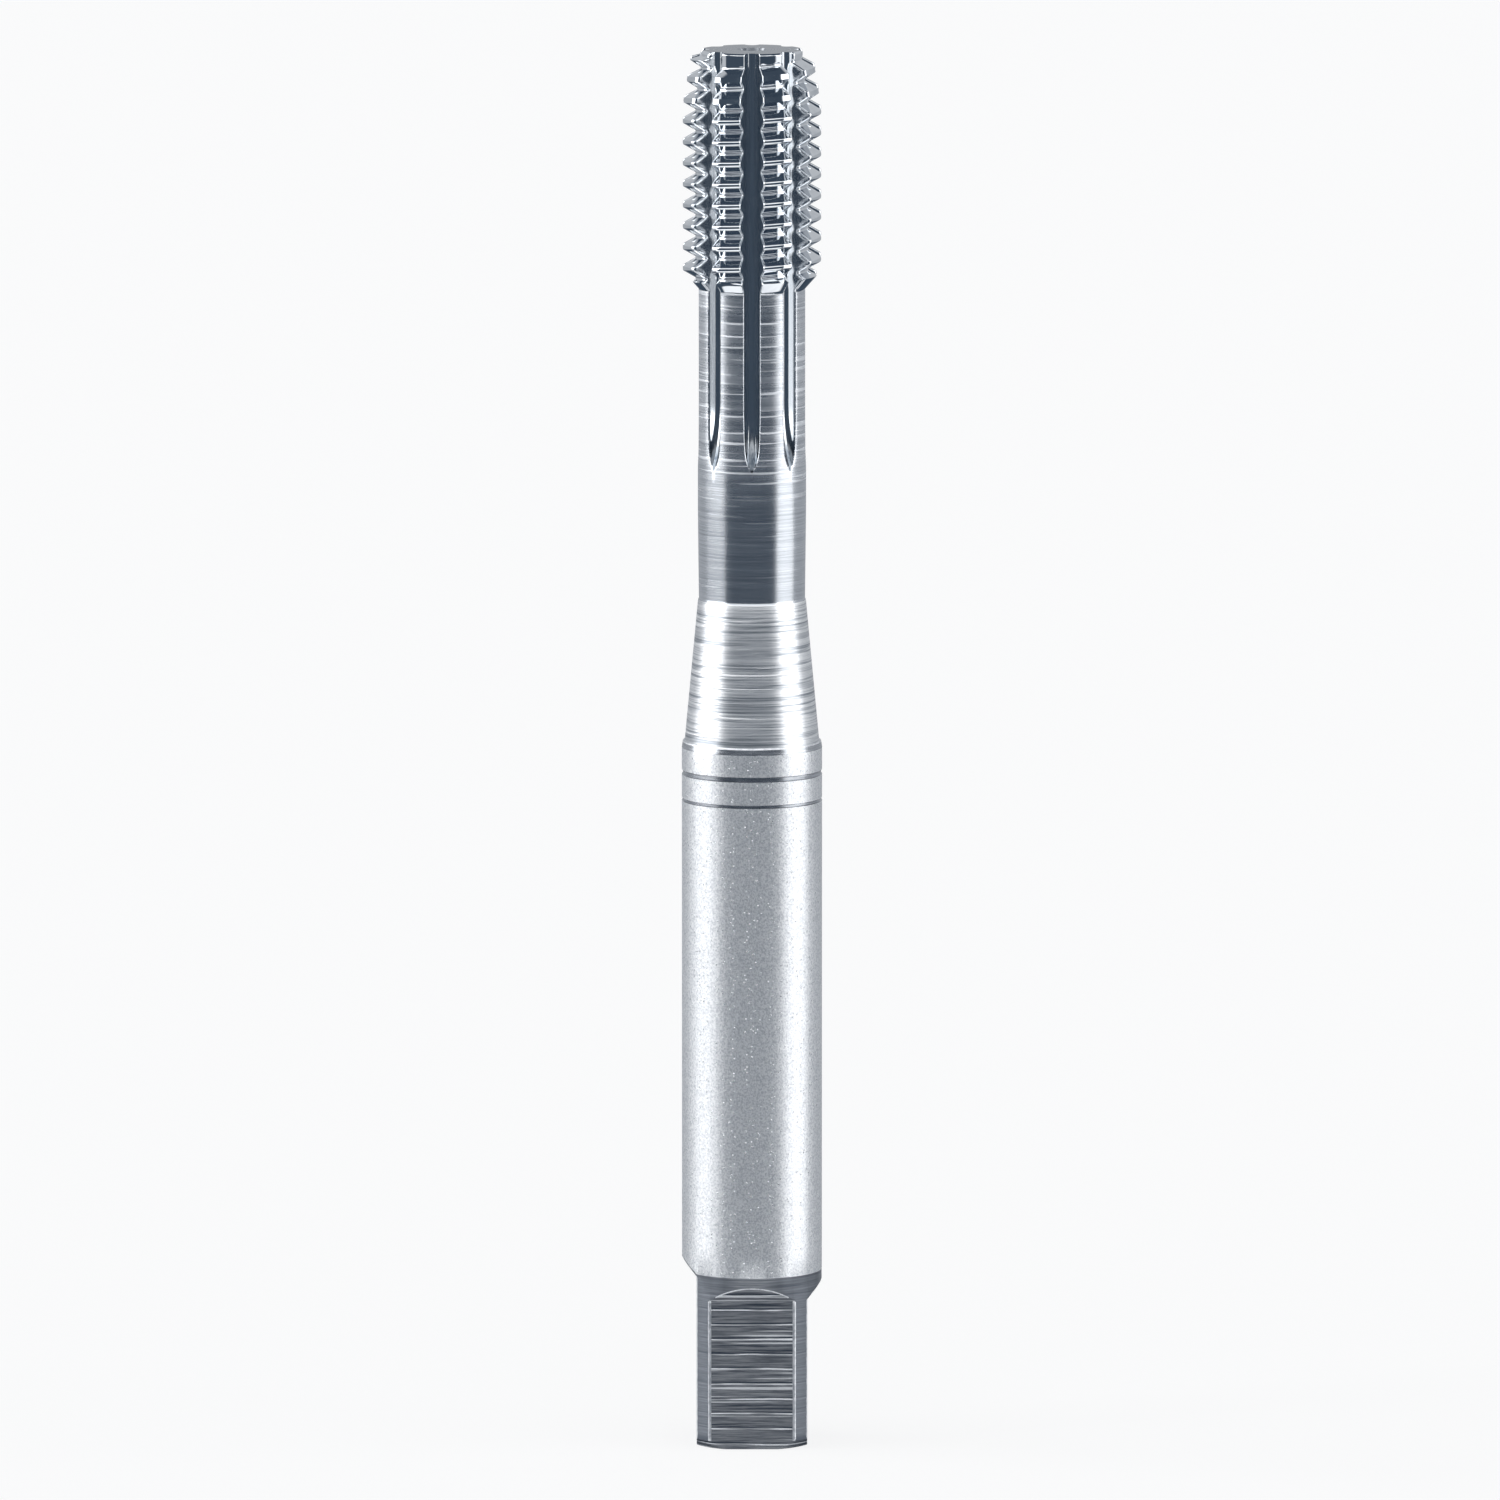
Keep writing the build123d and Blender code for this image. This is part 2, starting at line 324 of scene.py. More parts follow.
def halfSector(heightAt, rows, middle, side):
    # Azimuths and radii of the columns from a groove's middle to the start of the land on one side. The
    # edge is where wall and land are equally far out, and its rounding is a curve with three controls.
    g = groove
    low = np.zeros((rows, 1))
    high = np.full((rows, 1), grid["widestEdge"])
    for step in range(grid["halvings"]):  # halve the gap until the groove's edge is found
        width = (low + high) / 2
        about = middle + side * np.arctan2(width, g["aboutRadius"])
        distance = grooveDistance(width, heightAt(about))
        turn = middle + side * np.arctan2(width, distance)
        z = heightAt(turn)
        inGroove = grooveDistance(width, z) ** 2 + width**2 < landRadius(turn, z) ** 2
        low = np.where(inGroove, width, low)
        high = np.where(inGroove, high, width)
    z = heightAt(middle + side * np.arctan2(low, g["aboutRadius"]))
    plain = plainHalfWidth(z, middle)
    edgeWidth = np.maximum(low, plain)
    hasGroove = low > plain
    edgeTurn = np.full((rows, 1), grid["edgeGuess"])
    for step in range(grid["edgeTries"]):
        turn = middle + side * edgeTurn
        z = heightAt(turn)
        edgeTurn = np.arcsin(np.clip(edgeWidth / landRadius(turn, z), -1, 1))
    turn = middle + side * edgeTurn
    z = heightAt(turn)
    edgeDistance = np.sqrt(np.maximum(landRadius(turn, z) ** 2 - edgeWidth**2, 0))
    # the rounding goes from the wall, past the corner, to the land
    rounding = np.where(z < square["satinStart"] + square["roundReach"], square["edgeRound"], g["edgeRound"])
    rounding = np.minimum(rounding, grid["roundShare"] * edgeWidth)
    inner = edgeWidth - grid["slopeStep"]
    slope = (grooveDistance(edgeWidth, z) - grooveDistance(inner, z)) / grid["slopeStep"]
    slope = np.where(hasGroove, slope, -edgeWidth / edgeDistance)
    length = np.sqrt(1 + slope**2)
    wallWidth = edgeWidth - rounding / length
    wallDistance = edgeDistance - rounding * slope / length
    here = middle + side * np.arcsin(np.clip(wallWidth / landRadius(turn, z), -1, 1))
    outside = landRadius(here, heightAt(here))
    onOutside = np.sqrt(np.maximum(outside**2 - wallWidth**2, 0))
    wallDistance = np.where(hasGroove, wallDistance, onOutside)
    landTurn = edgeTurn + rounding / landRadius(turn, z)
    landOut = landRadius(middle + side * landTurn, heightAt(middle + side * landTurn))
    landWidth, landDistance = landOut * np.sin(landTurn), landOut * np.cos(landTurn)
    # floor and wall columns lie between the middle and the rounding
    angles = np.radians(grid["floorAngles"])
    floorEnd = np.minimum(grid["floorShare"] * wallWidth, g["floorRadius"] * math.cos(g["flare"]))
    widths = [floorEnd * share for share in np.sin(angles) / np.sin(angles[-1])]
    widths.append((floorEnd + wallWidth) / 2)
    points = []
    for width in widths:
        here = middle + side * np.arcsin(np.clip(width / landRadius(turn, z), -1, 1))
        outside = landRadius(here, heightAt(here))
        distance = np.sqrt(np.maximum(outside**2 - width**2, 0))
        points.append((width, np.minimum(distance, grooveDistance(width, z))))
    points.append((wallWidth, wallDistance))
    for share in (1 / 3, 2 / 3):
        a, b, c = (1 - share) ** 2, 2 * share * (1 - share), share**2
        points.append((
            a * wallWidth + b * edgeWidth + c * landWidth,
            a * wallDistance + b * edgeDistance + c * landDistance,
        ))
    points.append((landWidth, landDistance))
    width = np.hstack([w for w, d in points])
    distance = np.hstack([d for w, d in points])
    return middle + side * np.arctan2(width, distance), np.hypot(width, distance)


def columns(heightAt, rows):
    # Points of a band of the surface. Each of the eight sectors has a groove in its middle: columns over
    # its floor and walls, a small rounding at each edge, and columns over the land up to the next.
    # heightAt gives the height of every row at an azimuth.
    spacing = 2 * math.pi / groove["count"]
    halves = {}
    for k in range(groove["count"] + 1):
        for side in (-1, 1):
            halves[k, side] = halfSector(heightAt, rows, k * spacing, side)
    turns, radii = [], []
    for k in range(groove["count"]):
        leftTurn, leftRadius = halves[k, -1]
        rightTurn, rightRadius = halves[k, 1]
        middle = np.full((rows, 1), k * spacing)
        z = heightAt(middle)
        floor = np.minimum(landRadius(middle, z), grooveDistance(np.zeros((rows, 1)), z))
        start, end = rightTurn[:, -1:], halves[k + 1, -1][0][:, -1:]
        shares = np.arange(1, grid["landColumns"] + 1) / (grid["landColumns"] + 1)
        land = start + (end - start) * shares
        turns += [leftTurn[:, ::-1], middle, rightTurn, land]
        radii += [leftRadius[:, ::-1], floor, rightRadius, landRadius(land, heightAt(land))]
    closingTurn, closingRadius = halves[groove["count"], -1]
    turn = np.hstack(turns + [closingTurn[:, -1:]])
    radius = np.hstack(radii + [closingRadius[:, -1:]])
    return turn, radius, heightAt(turn)


def threadRows():
    # Heights at azimuth 0 of rows that follow the helix: over each crest, flank and root
    p = thread
    arcTurn = math.pi / 2 - p["halfFlank"]
    edge = crestEdge()
    crest = np.linspace(-edge, edge, grid["crestSteps"] + 1)
    arcStart, arcEnd = rootCorner()
    flank = np.linspace(edge, arcStart, grid["flankSteps"] + 1)[1:]
    nearCrest, nearRoot = edge + grid["crestSupport"], arcStart - grid["rootSupport"]
    flank = np.concatenate([[nearCrest], flank[:-1], [nearRoot, arcStart]])
    arc = arcEnd - p["rootRound"] * np.sin(np.linspace(arcTurn, 0, grid["rootSteps"] + 1))[1:]
    root = np.concatenate([arc, p["pitch"] - arc[::-1], [p["pitch"] - arcStart]])
    otherFlank = (p["pitch"] - flank[::-1])[1:]
    onePitch = np.concatenate([crest, flank, root, otherFlank])
    first = math.floor((grid["threadBase"] - 2 * p["pitch"]) / p["pitch"])
    last = math.ceil(body["length"] / p["pitch"]) + 1
    rows = [p["crestPhase"] + k * p["pitch"] + onePitch for k in range(first, last)]
    return np.concatenate(rows)[:, None]


def straightCurves(turn):
    # Curves round the tap between the flat end and the thread, each with the number of rows up to the
    # next. Near the square they follow the ends of the flats, and above it they are level.
    b, s = body, square
    nothing = np.zeros_like(turn)
    bend, line = s["bend"], s["edgeLine"]
    ends = flatLength(turn)
    top = np.maximum(rampTop(turn), ends + 3 * bend)
    satin = np.maximum(s["satinStart"], top + 4 * line)
    curves = [(nothing, 1), (nothing + b["endChamfer"], 1)]
    curves += [(nothing + b["endChamfer"] + grid["chamferSupport"], 3)]
    curves += [(ends - 4 * bend, 1), (ends - bend, 1), (ends + bend, 3)]
    curves += [(top - line, 1), (top + line, 1), (satin - s["satinRise"], 1), (satin, 1)]
    levels = [(grid["shankBase"], 5)]
    wall = b["ringWall"]
    for height, width in sorted(b["rings"]):
        levels += [(height - width / 2, 1), (height - width / 2 + wall, 1)]
        levels += [(height + width / 2 - wall, 1), (height + width / 2, 1)]
    shankEnd, coneEnd = b["shankLength"], b["shankLength"] + b["coneLength"]
    bevel, broken = shankEnd - b["edgeHeight"], shankEnd - b["edgeBreak"]
    levels += [(bevel, 1), (bevel + grid["bevelSupport"], 1)]
    levels += [(broken - grid["breakSupport"], 1), (broken, 1)]
    levels += [(shankEnd, 1), (shankEnd + b["ledgeRise"], 6)]
    soft = b["coneRound"]
    levels += [(coneEnd - soft, 1), (coneEnd, 1), (coneEnd + soft, 1)]
    levels += [(coneEnd + 2 * soft, 3), (coneEnd + b["reliefLength"], 3)]
    levels += [(grid["runOutBase"], 16), (grid["runOutTop"], 4), (grid["threadBase"], 1)]
    return curves + [(nothing + height, rows) for height, rows in levels]


def buildTap():
    # Bands of the surface from the flat end up: each is turn, radius and height on a grid
    base = threadRows()
    rise = thread["pitch"] / (2 * math.pi)
    steps = [rows for curve, rows in straightCurves(np.zeros((1, 1)))][:-1]
    segment = np.concatenate([np.full(n, i) for i, n in enumerate(steps)] + [[len(steps) - 1]])
    share = np.concatenate([np.arange(n) / n for n in steps] + [[1.0]])[:, None]
    index = np.arange(len(segment))

    def helixHeights(turn):
        return np.clip(base + rise * turn, grid["threadBase"], body["length"])

    def straightHeights(turn):
        turn = np.zeros((len(segment), 1)) + turn
        curves = np.stack([curve for curve, rows in straightCurves(turn)])
        return curves[segment, index] * (1 - share) + curves[segment + 1, index] * share

    return columns(straightHeights, len(segment)), columns(helixHeights, len(base))


def endRings(turn, radius, hole, height, up):
    # Rings from the rim of an end face in to the centre hole, and down it to its flat bottom
    mouth, bore, depth = centreHole[hole]
    coneDepth = (mouth - bore) / math.tan(centreHole["halfAngle"])
    rings = []
    for share in (0, 0.06, 0.5, 0.94, 1):
        rings.append((radius + (mouth - radius) * share, 0))
    rings += [(mouth + (bore - mouth) * share, coneDepth * share) for share in (0.03, 0.5, 1)]
    rings += [(bore, depth), (bore * 0.5, depth), (0, depth)]
    radii = np.stack([np.zeros_like(radius) + r for r, d in rings])
    heights = np.stack([np.zeros_like(radius) + height - up * d for r, d in rings])
    return np.zeros_like(radii) + turn, radii, heights


def meshFromGrids(name, grids, materials):
    # One closed mesh from grids of (turn, radius, height, material of each face): quads between the rows,
    # merged where they meet, with the faces outward
    points, quads, slots = [], [], []
    start = 0
    for turn, radius, z, faceSlot in grids:
        rows, cols = turn.shape
        points.append(np.stack([radius * np.cos(turn), radius * np.sin(turn), z], axis=-1).reshape(-1, 3))
        corner = start + np.arange(rows * cols).reshape(rows, cols)
        around = [corner[:-1, :-1], corner[:-1, 1:], corner[1:, 1:], corner[1:, :-1]]
        quads.append(np.stack(around, axis=-1).reshape(-1, 4))
        slots.append(faceSlot.reshape(-1))
        start += rows * cols
    points, quads, slots = np.concatenate(points), np.concatenate(quads), np.concatenate(slots)
    # points that meet become one, and quads with no area go
    keys = np.round(points / grid["merge"]).astype(np.int64)
    first, same = np.unique(keys, axis=0, return_index=True, return_inverse=True)[1:]
    points, quads = points[first], same.reshape(-1)[quads]
    a, b, c, d = quads.T
    whole = (a != b) & (b != c) & (c != d) & (d != a) & (a != c) & (b != d)
    triangles = [
        (quads[:, [0, 1, 2]], (a != b) & (b != c) & (a != c) & ((d == a) | (d == c))),
        (quads[:, [0, 2, 3]], (a != c) & (c != d) & (a != d) & ((b == a) | (b == c))),
    ]
    allFaces = quads[whole].tolist()
    allSlots = [slots[whole]]
    for triangle, keep in triangles:
        keep = keep & ~whole
        allFaces += triangle[keep].tolist()
        allSlots.append(slots[keep])
    mesh = bpy.data.meshes.new(name)
    mesh.from_pydata((points * metre).tolist(), [], allFaces)
    for material in materials:
        mesh.materials.append(material)
    mesh.polygons.foreach_set("material_index", np.concatenate(allSlots).astype(np.int32))
    mesh.polygons.foreach_set("use_smooth", np.ones(len(allFaces), bool))
    mesh.update()
    tap = bpy.data.objects.new(name, mesh)
    bpy.context.scene.collection.objects.link(tap)
    return tap


# Materials

class Value:
    # A socket's value in a shader tree. Sums written with it add Math nodes.
    def __init__(self, shader, socket):
        self.shader = shader
        self.socket = socket

    def math(self, operation, other=0.0):
        return self.shader.add("ShaderNodeMath", {"operation": operation}, {0: self, 1: other})

    def turned(self, operation, other):
        return self.shader.add("ShaderNodeMath", {"operation": operation}, {0: other, 1: self})

    def __add__(self, other):
        return self.math("ADD", other)

    def __sub__(self, other):
        return self.math("SUBTRACT", other)

    def __mul__(self, other):
        return self.math("MULTIPLY", other)

    def __truediv__(self, other):
        return self.math("DIVIDE", other)

    def __rsub__(self, other):
        return self.turned("SUBTRACT", other)

    def __abs__(self):
        return self.math("ABSOLUTE")

    __radd__ = __add__
    __rmul__ = __mul__


class Shader:
    # Adds nodes to a material's or the world's tree
    def __init__(self, owner):
        owner.use_nodes = True
        self.tree = owner.node_tree

    def add(self, kind, settings, sockets, output=0):
        # a node of this type, with its settings made first, then its sockets' values or links
        node = self.tree.nodes.new(kind)
        for name, setting in settings.items():
            setattr(node, name, setting)
        for name, given in sockets.items():
            self.give(node.inputs[name], given)
        return Value(self, node.outputs[output])

    def give(self, socket, given):
        if isinstance(given, Value):
            self.tree.links.new(given.socket, socket)
        else:
            socket.default_value = given

    def smooth(self, value, low, high):
        # 0 below low, 1 above high, with a soft step between
        settings = {"interpolation_type": "SMOOTHSTEP"}
        return self.add("ShaderNodeMapRange", settings, {"Value": value, "From Min": low, "From Max": high})

    def noise(self, vector, detail=2.0, roughness=0.5):
        sockets = {"Vector": vector, "Scale": 1.0, "Detail": detail, "Roughness": roughness}
        return self.add("ShaderNodeTexNoise", {}, sockets)

    def mixColour(self, factor, first, second):
        settings = {"data_type": "RGBA"}
        return self.add("ShaderNodeMix", settings, {0: factor, 6: first, 7: second}, output=2)

    def up(self):
        # height on the object, in millimetres
        place = self.add("ShaderNodeTexCoord", {}, {}, output=3)
        return self.add("ShaderNodeSeparateXYZ", {}, {0: place}, output=2) / metre

    def stretched(self, scale, offset=(0.0, 0.0, 0.0)):
        # place on the object, stretched by so many units a metre along each axis
        place = self.add("ShaderNodeTexCoord", {}, {}, output=3)
        sockets = {"Vector": place, "Location": offset, "Scale": scale}
        return self.add("ShaderNodeMapping", {}, sockets)


steel = {
    "thread": {"colour": (0.86, 0.885, 0.91, 1), "deep": (0.74, 0.77, 0.81, 1), "roughness": 0.03},
    "groove": {"colour": (0.84, 0.865, 0.89, 1), "deep": (0.07, 0.09, 0.115, 1), "roughness": 0.06},
    "neck": {"colour": (0.88, 0.9, 0.93, 1), "deep": (0.52, 0.55, 0.59, 1), "roughness": 0.2},
    "cone": {"colour": (0.97, 0.98, 0.99, 1), "deep": (0.34, 0.37, 0.41, 1), "roughness": 0.25},
    "turned": {"colour": (0.58, 0.6, 0.63, 1), "deep": (0.4, 0.42, 0.45, 1), "roughness": 0.2},
    "satin": {"colour": (0.975, 0.985, 0.995, 1), "deep": (0.66, 0.68, 0.71, 1), "roughness": 0.32},
    "square": {"colour": (0.95, 0.965, 0.985, 1), "deep": (0.07, 0.085, 0.11, 1), "roughness": 0.46},
    "dull": {"colour": (0.45, 0.47, 0.5, 1), "deep": (0.12, 0.135, 0.16, 1), "roughness": 0.5},
    # the edge steel's light colour is a painted highlight
    "edge": {"colour": (0.95, 0.96, 0.98, 1), "deep": (0.7, 0.72, 0.75, 1), "roughness": 0.3},
    "end": {"colour": (0.5, 0.52, 0.545, 1), "deep": (0.36, 0.38, 0.41, 1), "roughness": 0.2},
}


def newSteel(kind):
    material = bpy.data.materials.new(kind + "Steel")
    return material, Shader(material)


def finishSteel(material, shader, kind, shade, roughness, height, depth):
    # shade runs from deep to light, and height is in units of depth, in metres
    look = steel[kind]
    surface = material.node_tree.nodes["Principled BSDF"]
    surface.inputs["Metallic"].default_value = 1.0
    shader.give(surface.inputs["Base Color"], shader.mixColour(shade, look["deep"], look["colour"]))
    shader.give(surface.inputs["Roughness"], roughness)
    bump = shader.add("ShaderNodeBump", {}, {"Strength": 1.0, "Distance": depth, "Height": height})
    shader.give(surface.inputs["Normal"], bump)
    return material


def threadSteel():
    # polished by the forming: fine marks along the helix, nearly a mirror
    material, shader = newSteel("thread")
    marks = shader.noise(shader.stretched((900.0, 900.0, 9000.0)), detail=3.0)
    stain = shader.noise(shader.stretched((500.0, 500.0, 400.0)), detail=3.0)
    shade = shader.smooth(stain, 0.3, 0.6)
    roughness = steel["thread"]["roughness"] + 0.04 * shader.smooth(marks, 0.45, 0.75)
    return finishSteel(material, shader, "thread", shade, roughness, marks, 0.5e-6)


def grooveSteel():
    # the wheel left fine lines along the groove; its colour is dark low in the run-out and light higher up
    material, shader = newSteel("groove")
    lines = shader.noise(shader.stretched((14000.0, 14000.0, 260.0)), detail=3.0)
    shade = shader.smooth(lines, 0.3, 0.65) * 0.15 + 0.85 * shader.smooth(shader.up(), *groove["darkRunOut"])
    roughness = steel["groove"]["roughness"] + 0.1 * lines
    return finishSteel(material, shader, "groove", shade, roughness, lines, 1.2e-6)


def neckSteel():
    # ground lines round the neck over a broader unevenness, most of them in the half next to the thread.
    # Some
    # of them are bright: rougher and raised, with a painted highlight that lifts their colour
    material, shader = newSteel("neck")
    fine = shader.noise(shader.stretched((120.0, 120.0, 11000.0)), detail=4.0, roughness=0.65)
    broad = shader.noise(shader.stretched((160.0, 160.0, 2200.0), (3.1, 0.0, 0.0)), detail=3.0)
    single = shader.noise(shader.stretched((90.0, 90.0, 4200.0), (0.0, 7.3, 0.0)))
    bright = shader.smooth(single, 0.56, 0.68)
    lined = 0.22 + 0.78 * shader.smooth(shader.up(), *body["linedFrom"])
    bright = bright * lined
    shade = shader.smooth(fine, 0.3, 0.65) * 0.5 + 0.4 * lined * shader.smooth(broad, 0.3, 0.65)
    # painted highlight: the bright lines lift the colour
    shade = shade + 0.9 * bright
    roughness = steel["neck"]["roughness"] + 0.14 * lined * broad + 0.28 * bright
    height = fine + 0.8 * broad * lined + 1.2 * bright
    return finishSteel(material, shader, "neck", shade, roughness, height, 4.6e-6)


def coneSteel():
    # turned, with coarser lines than the neck and a lighter look; some thin lines carry a painted highlight
    # in their colour
    material, shader = newSteel("cone")
    fine = shader.noise(shader.stretched((90.0, 90.0, 9500.0)), detail=4.0, roughness=0.7)
    coarse = shader.noise(shader.stretched((140.0, 140.0, 3200.0), (5.0, 1.0, 0.0)), detail=3.0)
    single = shader.noise(shader.stretched((60.0, 60.0, 3600.0), (0.0, 4.1, 0.0)))
    bright = shader.smooth(single, 0.6, 0.68)
    # painted highlight: the bright lines lift the colour
    shade = 0.62 * shader.smooth(fine, 0.4, 0.56) + 0.5 * shader.smooth(coarse, 0.4, 0.56) + 0.5 * bright
    roughness = steel["cone"]["roughness"] + 0.16 * fine + 0.12 * bright
    return finishSteel(material, shader, "cone", shade, roughness, fine + 1.2 * coarse + bright, 10.0e-6)


def turnedSteel():
    # the rings and the bevel of the shank: bright turned, and never blasted
    material, shader = newSteel("turned")
    marks = shader.noise(shader.stretched((700.0, 700.0, 12000.0)), detail=3.0)
    shade = shader.smooth(marks, 0.3, 0.65)
    roughness = steel["turned"]["roughness"] + 0.08 * marks
    return finishSteel(material, shader, "turned", shade, roughness, marks, 2.0e-6)


def edgeSteel():
    # the edges of the flats are rubbed bright
    # painted highlight: a light colour on the flats' edges and the shank's small edges, where their
    # roundings catch the light
    material, shader = newSteel("edge")
    nicks = shader.noise(shader.stretched((2600.0, 2600.0, 2600.0)), detail=3.0)
    shade = shader.smooth(nicks, 0.35, 0.6)
    roughness = steel["edge"]["roughness"] + 0.15 * nicks
    return finishSteel(material, shader, "edge", shade, roughness, nicks, 4.0e-6)


def satinSteel():
    # blasted to a grain over faint grinding lines, with round specks in some of the cells of a pattern:
    # smoother raised bumps with a painted glint that lifts their colour
    material, shader = newSteel("satin")
    grain = shader.noise(shader.stretched((7000.0, 7000.0, 7000.0)), detail=3.0, roughness=0.65)
    lines = shader.noise(shader.stretched((200.0, 200.0, 6000.0)), detail=2.0)
    cells = shader.tree.nodes.new("ShaderNodeTexVoronoi")
    cells.inputs["Scale"].default_value = 1.0
    shader.give(cells.inputs["Vector"], shader.stretched((4200.0, 4200.0, 4200.0), (1.0, 2.0, 0.0)))
    distance, chance = Value(shader, cells.outputs["Distance"]), Value(shader, cells.outputs["Color"])
    specksAndGlint = (1 - shader.smooth(distance, 0.16, 0.3)) * shader.smooth(chance, 0.6, 0.75)
    # the specks' painted glint lifts the colour
    shade = shader.smooth(grain, 0.35, 0.62) * 0.9 + 0.2 * lines + 0.6 * specksAndGlint
    roughness = steel["satin"]["roughness"] + 0.12 * grain - 0.24 * specksAndGlint
    height = grain + 0.2 * lines + 2.2 * specksAndGlint
    return finishSteel(material, shader, "satin", shade, roughness, height, 13.0e-6)


def groundStreaks(shader, across):
    # Scratches from grinding across: fine ones, single light and dark ones, and the marks that the wheel
    # left each time it moved up. across is how many of them turn up in a metre sideways.
    fine = shader.noise(shader.stretched((across, across, 8000.0)), detail=4.0, roughness=0.7)
    streaks = shader.noise(shader.stretched((across / 4, across / 4, 4200.0), (2.0, 0.0, 0.0)), detail=1.0)
    light = shader.smooth(streaks, 0.62, 0.68)
    dark = shader.smooth(1 - streaks, 0.6, 0.68)
    sway = shader.noise(shader.stretched((150.0, 150.0, 500.0)))
    step = (shader.up() / square["feed"] + 0.3 * sway).math("FRACT")
    uneven = shader.noise(shader.stretched((240.0, 240.0, 900.0)))
    strength = 0.3 + 0.7 * shader.smooth(uneven, 0.4, 0.58)
    light = 0.6 * light + strength * (1 - shader.smooth(abs(step - 0.5), 0.025, 0.06))
    dark = dark + 0.9 * (1 - shader.smooth(abs(step - 0.6), 0.03, 0.06))
    return fine, light, dark


def squareSteel():
    # the flats: ground across, with light and dark scratches of uneven spacing over a fine grain
    material, shader = newSteel("square")
    fine, light, dark = groundStreaks(shader, 300.0)
    shade = 0.08 + 0.24 * shader.smooth(fine, 0.35, 0.65) + 0.9 * light - 0.2 * dark
    roughness = steel["square"]["roughness"] + 0.1 * fine + 0.15 * light
    height = fine + 0.5 * light - 0.7 * dark
    return finishSteel(material, shader, "square", shade, roughness, height, 7.0e-6)


def dullSteel():
    # the round parts between the flats, ground to a dull grey, with painted shade darkest at the corners;
    # the colour is also nearly black in a wedge above their chamfers
    material, shader = newSteel("dull")
    fine, light, dark = groundStreaks(shader, 300.0)
    place = shader.add("ShaderNodeTexCoord", {}, {}, output=3)
    split = shader.tree.nodes.new("ShaderNodeSeparateXYZ")
    shader.give(split.inputs[0], place)
    x, y, z = (Value(shader, output) for output in split.outputs)
    corner = shader.smooth(abs(x * y) / metre**2, *square["paintedCornerShade"])
    foot = shader.smooth(z / metre, *square["darkFoot"])
    shade = 0.3 + 0.6 * shader.smooth(fine, 0.3, 0.7) + 0.35 * light - 0.25 * dark
    # painted shade towards the corners, and the dark wedge above the chamfers
    shade = shade * (1.1 - 0.7 * corner) * (1 - corner * (1 - foot))
    roughness = steel["dull"]["roughness"] + 0.1 * fine
    return finishSteel(material, shader, "dull", shade, roughness, fine + 0.3 * light - 0.3 * dark, 5.0e-6)


def endSteel():
    # faced: rings round the centre
    material, shader = newSteel("end")
    place = shader.stretched((1.0, 1.0, 0.0))
    out = shader.add("ShaderNodeVectorMath", {"operation": "LENGTH"}, {0: place}, output=1)
    sockets = {"W": out, "Scale": 9000.0, "Detail": 3.0}
    rings = shader.add("ShaderNodeTexNoise", {"noise_dimensions": "1D"}, sockets)
    shade = shader.smooth(rings, 0.3, 0.65)
    roughness = steel["end"]["roughness"] + 0.1 * rings
    return finishSteel(material, shader, "end", shade, roughness, rings, 3.0e-6)


makers = (threadSteel, grooveSteel, neckSteel, coneSteel, turnedSteel, satinSteel)
makers += (squareSteel, dullSteel, edgeSteel, endSteel)
materials = [maker() for maker in makers]
slotOf = {maker.__name__: i for i, maker in enumerate(makers)}
print("materials made:", len(materials))


